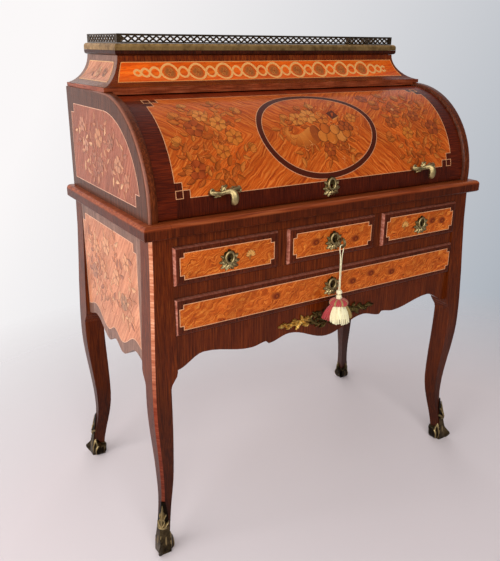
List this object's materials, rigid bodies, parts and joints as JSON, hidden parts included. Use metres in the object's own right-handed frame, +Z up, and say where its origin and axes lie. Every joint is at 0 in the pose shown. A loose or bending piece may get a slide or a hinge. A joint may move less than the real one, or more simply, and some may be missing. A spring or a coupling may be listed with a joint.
{
  "type": "cylinder-fall writing desk",
  "caption": "Marquetry writing desk on cabriole legs with a quarter-round fall, pull-out leather slide, drawers, brass gallery, shoes and handles, and a tassel on the key.",
  "frame": {"origin": "on the floor under the middle of the desk's plan", "axes": "+X to the right of a person facing the front, +Y to the back, +Z up; the front faces -Y"},
  "size_m": [0.9282, 0.5414, 1.1004],
  "materials": {
    "dark_rosewood": "polished",
    "tulipwood_marquetry": "polished",
    "oak_carcass": "satin",
    "patinated_brass": "worn gilt",
    "dark_steel": "darkened",
    "green_leather": "satin",
    "cream_thread": "matte"
  },
  "bodies": {
    "case": {"leg_front_left": "dark_rosewood", "leg_front_right": "dark_rosewood", "leg_back_left": "dark_rosewood", "leg_back_right": "dark_rosewood", "front_apron": "dark_rosewood", "top_rail": "dark_rosewood", "middle_rail": "dark_rosewood", "waist_moulding_left": "dark_rosewood", "waist_moulding_right": "dark_rosewood", "top_board": "dark_rosewood", "crown_board": "dark_rosewood", "pigeonhole_fitment": "dark_rosewood", "side_panel_left": "tulipwood_marquetry", "side_panel_right": "tulipwood_marquetry", "upper_end_left": "tulipwood_marquetry", "upper_end_right": "tulipwood_marquetry", "cove_front": "tulipwood_marquetry", "cove_left": "tulipwood_marquetry", "cove_right": "tulipwood_marquetry", "dust_board_with_partitions": "oak_carcass", "runner_frame_left": "oak_carcass", "runner_frame_right": "oak_carcass", "lower_back": "oak_carcass", "upper_back": "oak_carcass", "shoe_front_left": "patinated_brass", "shoe_front_right": "patinated_brass", "shoe_back_left": "patinated_brass", "shoe_back_right": "patinated_brass", "brass_moulding": "patinated_brass", "gallery": "patinated_brass", "apron_mount": "patinated_brass"},
    "fall": {"fall_shell": "tulipwood_marquetry", "fall_arm_left": "dark_steel", "fall_arm_right": "dark_steel", "fall_lock": "patinated_brass", "fall_key_plate": "patinated_brass", "fall_handle_left": "patinated_brass", "fall_handle_right": "patinated_brass"},
    "slide": {"writing_slide": "oak_carcass", "slide_front_edge": "dark_rosewood", "slide_leather": "green_leather"},
    "drawer_left": {"drawer_left_front": "tulipwood_marquetry", "drawer_left_box": "oak_carcass", "drawer_left_lock": "patinated_brass", "drawer_left_key_plate": "patinated_brass"},
    "drawer_middle": {"drawer_middle_front": "tulipwood_marquetry", "drawer_middle_box": "oak_carcass", "drawer_middle_lock": "patinated_brass", "drawer_middle_key_plate": "patinated_brass"},
    "drawer_right": {"drawer_right_front": "tulipwood_marquetry", "drawer_right_box": "oak_carcass", "drawer_right_lock": "patinated_brass", "drawer_right_key_plate": "patinated_brass"},
    "drawer_long": {"drawer_long_front": "tulipwood_marquetry", "drawer_long_box": "oak_carcass", "drawer_long_lock": "patinated_brass", "drawer_long_key_plate": "patinated_brass"},
    "key": {"key": "patinated_brass"},
    "tassel": {"tassel_cord": "cream_thread", "tassel": "cream_thread"}
  },
  "joints": [
    {"name": "fall_turn", "type": "hinge", "parent": "case", "child": "fall", "pos_m": [0, -0.002, 0.776], "axis": [-1, 0, 0], "range_deg": [0, 76]},
    {"name": "slide_pull", "type": "slide", "parent": "case", "child": "slide", "axis": [0, -1, 0], "range_m": [0, 0.25]},
    {"name": "drawer_left_pull", "type": "slide", "parent": "case", "child": "drawer_left", "axis": [0, -1, 0], "range_m": [0, 0.27]},
    {"name": "drawer_middle_pull", "type": "slide", "parent": "case", "child": "drawer_middle", "axis": [0, -1, 0], "range_m": [0, 0.27]},
    {"name": "drawer_right_pull", "type": "slide", "parent": "case", "child": "drawer_right", "axis": [0, -1, 0], "range_m": [0, 0.27]},
    {"name": "drawer_long_pull", "type": "slide", "parent": "case", "child": "drawer_long", "axis": [0, -1, 0], "range_m": [0, 0.27], "deforming": ["tassel", "tassel_cord"]},
    {"name": "key_turn", "type": "hinge", "parent": "drawer_middle", "child": "key", "pos_m": [0, -0.2525, 0.6692], "axis": [0, 1, 0], "range_deg": [0, 90]},
    {"name": "tassel_hang", "type": "hinge", "parent": "key", "child": "tassel", "pos_m": [0, -0.2525, 0.6597], "axis": [0, 1, 0], "range_deg": [-90, 0]}
  ],
  "couplings": [
    {"joint": "tassel_hang", "follows": "key_turn", "ratio": -1}
  ]
}
